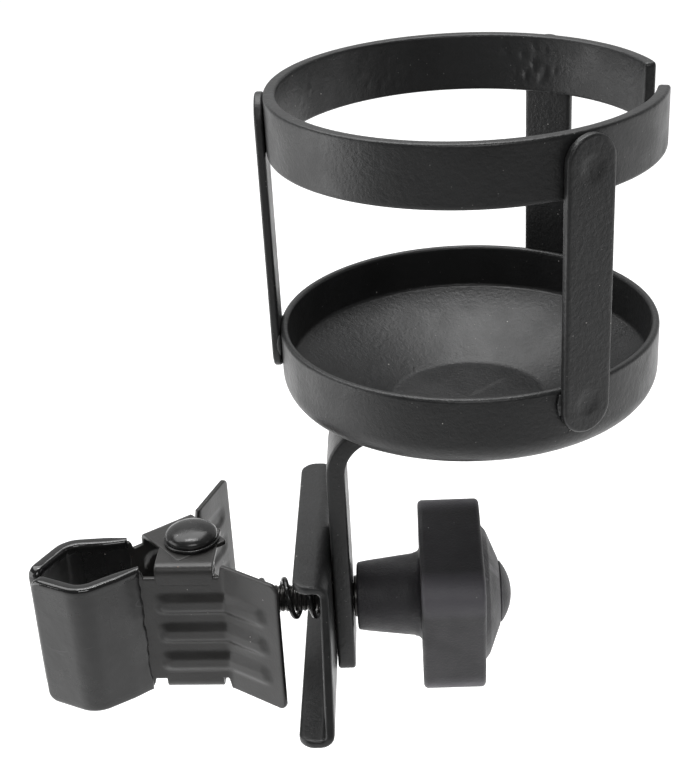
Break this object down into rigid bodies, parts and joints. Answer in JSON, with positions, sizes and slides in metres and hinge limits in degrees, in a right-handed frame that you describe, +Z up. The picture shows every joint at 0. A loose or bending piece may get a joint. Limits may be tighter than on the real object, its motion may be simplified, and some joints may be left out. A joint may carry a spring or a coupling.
{
  "type": "cup holder",
  "caption": "Clip-on drink holder: split ring over a dished tray on straps and a bent bar, with a knob-tightened two-jaw spring clip that grips a tube.",
  "frame": {"origin": "centre of the flat disc in the tray floor, on the cup axis, where the drink stands", "axes": "+Z up along the cup axis, +X along the clamp bolt towards the knob, the spring clip towards -X"},
  "size_m": [0.1711, 0.097, 0.1729],
  "materials": {
    "powder_coat": "satin black powder coat with fine orange peel",
    "dipped_vinyl": "glossy black dipped vinyl",
    "moulded_plastic": "fine matt grained black moulding",
    "black_steel": "glossy blackened spring steel",
    "dark_zinc": "dark passivated steel"
  },
  "bodies": {
    "clip_near": {"jaw_near": "powder_coat", "dip_near": "dipped_vinyl", "rivet": "black_steel", "rivet_washer_top": "black_steel", "rivet_washer_bottom": "black_steel", "torsion_spring": "dark_zinc"},
    "clip_far": {"jaw_far": "powder_coat", "dip_far": "dipped_vinyl"},
    "bolt": {"eye_bolt": "dark_zinc", "coil_spring": "black_steel"},
    "plate": {"spreader_plate": "powder_coat"},
    "cup": {"ring_band": "powder_coat", "tray": "powder_coat", "strap_left": "powder_coat", "strap_front": "powder_coat", "strap_rear": "powder_coat", "arm_bar": "powder_coat"},
    "knob": {"knob_body": "moulded_plastic", "knob_cap": "moulded_plastic", "knob_insert": "dark_zinc"}
  },
  "joints": [
    {"name": "jaw_open", "type": "hinge", "parent": "clip_near", "child": "clip_far", "pos_m": [-0.078, 0, -0.0625], "axis": [0, 0, 1], "range_deg": [-28, 0], "stiffness_Nm_per_rad": 0.4, "springref_deg": 17.19, "deforming": ["torsion_spring"]},
    {"name": "bolt_swing", "type": "hinge", "parent": "clip_near", "child": "bolt", "pos_m": [-0.078, 0, -0.0625], "axis": [0, 0, 1], "range_deg": [-1, 7]},
    {"name": "clamp_draw", "type": "slide", "parent": "bolt", "child": "plate", "axis": [1, 0, 0], "range_m": [-0.0025, 0.0075], "deforming": ["coil_spring"]},
    {"name": "cup_swivel", "type": "hinge", "parent": "plate", "child": "cup", "pos_m": [-0.0388, 0, -0.0625], "axis": [1, 0, 0], "continuous": true},
    {"name": "knob_turn", "type": "hinge", "parent": "plate", "child": "knob", "pos_m": [-0.02, 0, -0.0625], "axis": [1, 0, 0], "range_deg": [-720, 2160]}
  ],
  "couplings": [
    {"joint": "knob_turn", "follows": "clamp_draw", "rad_per_m": 5026.5}
  ]
}
